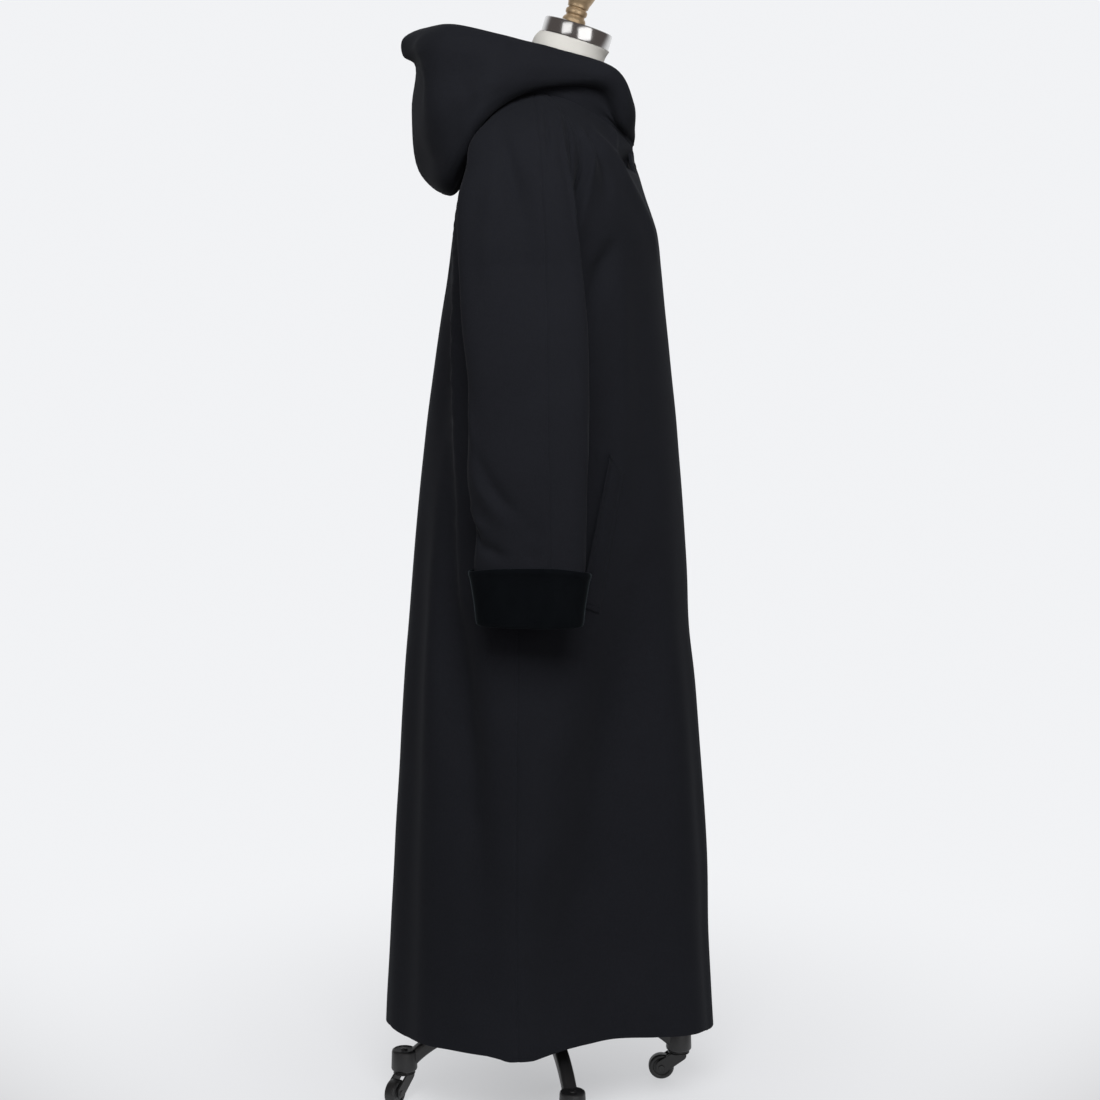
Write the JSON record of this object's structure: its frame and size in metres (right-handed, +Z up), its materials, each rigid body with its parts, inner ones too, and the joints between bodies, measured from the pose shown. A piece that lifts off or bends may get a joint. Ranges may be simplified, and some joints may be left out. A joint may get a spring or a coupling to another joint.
{
  "type": "hooded coat on a dress form",
  "caption": "Long flared wool coat with raglan sleeves, a hood folded down round the neck and turned-back velvet cuffs, worn by a limbless dress form on a caster stand.",
  "frame": {"origin": "on the floor under the middle of the bounding box", "axes": "+Z up, the coat's front faces -Y, the wearer's right side is at -X"},
  "size_m": [0.586, 0.483, 1.6068],
  "materials": {
    "wool": "matt black fulled wool",
    "velvet": "black cotton velvet with a soft sheen at its turned edges",
    "button": "dull black",
    "linen": "plain cream linen",
    "band": "polished",
    "finial": "satin bronze-coloured metal",
    "stand": "dark grey satin coating",
    "caster": "black satin"
  },
  "bodies": {
    "coat_and_form": {"back": "wool", "front_right": "wool", "sleeve_front_right": "wool", "sleeve_back_right": "wool", "front_left": "wool", "sleeve_front_left": "wool", "sleeve_back_left": "wool", "hood_right": "wool", "hood_left": "wool", "welt_right": "wool", "welt_left": "wool", "cuff_right": "velvet", "cuff_left": "velvet", "button": "button", "torso": "linen", "neck_band": "band", "finial": "finial", "pole": "stand", "hub": "stand", "leg_1": "stand", "leg_2": "stand", "leg_3": "stand", "leg_4": "stand"},
    "fork_1": {"fork_1": "caster"},
    "wheel_1": {"wheel_1": "caster"},
    "fork_2": {"fork_2": "caster"},
    "wheel_2": {"wheel_2": "caster"},
    "fork_3": {"fork_3": "caster"},
    "wheel_3": {"wheel_3": "caster"},
    "fork_4": {"fork_4": "caster"},
    "wheel_4": {"wheel_4": "caster"}
  },
  "joints": [
    {"name": "caster_1_swivel", "type": "hinge", "parent": "coat_and_form", "child": "fork_1", "pos_m": [0.20284, 0.05127, 0.045], "axis": [0, 0, 1], "continuous": true},
    {"name": "caster_1_roll", "type": "hinge", "parent": "fork_1", "child": "wheel_1", "pos_m": [0.21584, 0.07379, 0.019], "axis": [-0.866, 0.5, 0], "continuous": true},
    {"name": "caster_2_swivel", "type": "hinge", "parent": "coat_and_form", "child": "fork_2", "pos_m": [-0.04127, 0.21284, 0.045], "axis": [0, 0, 1], "continuous": true},
    {"name": "caster_2_roll", "type": "hinge", "parent": "fork_2", "child": "wheel_2", "pos_m": [-0.06423, 0.22505, 0.019], "axis": [-0.4695, -0.8829, 0], "continuous": true},
    {"name": "caster_3_swivel", "type": "hinge", "parent": "coat_and_form", "child": "fork_3", "pos_m": [-0.20284, -0.03127, 0.045], "axis": [0, 0, 1], "continuous": true},
    {"name": "caster_3_roll", "type": "hinge", "parent": "fork_3", "child": "wheel_3", "pos_m": [-0.22728, -0.04016, 0.019], "axis": [0.342, -0.9397, 0], "continuous": true},
    {"name": "caster_4_swivel", "type": "hinge", "parent": "coat_and_form", "child": "fork_4", "pos_m": [0.04127, -0.19284, 0.045], "axis": [0, 0, 1], "continuous": true},
    {"name": "caster_4_roll", "type": "hinge", "parent": "fork_4", "child": "wheel_4", "pos_m": [0.04127, -0.16684, 0.019], "axis": [-1, 0, 0], "continuous": true}
  ]
}
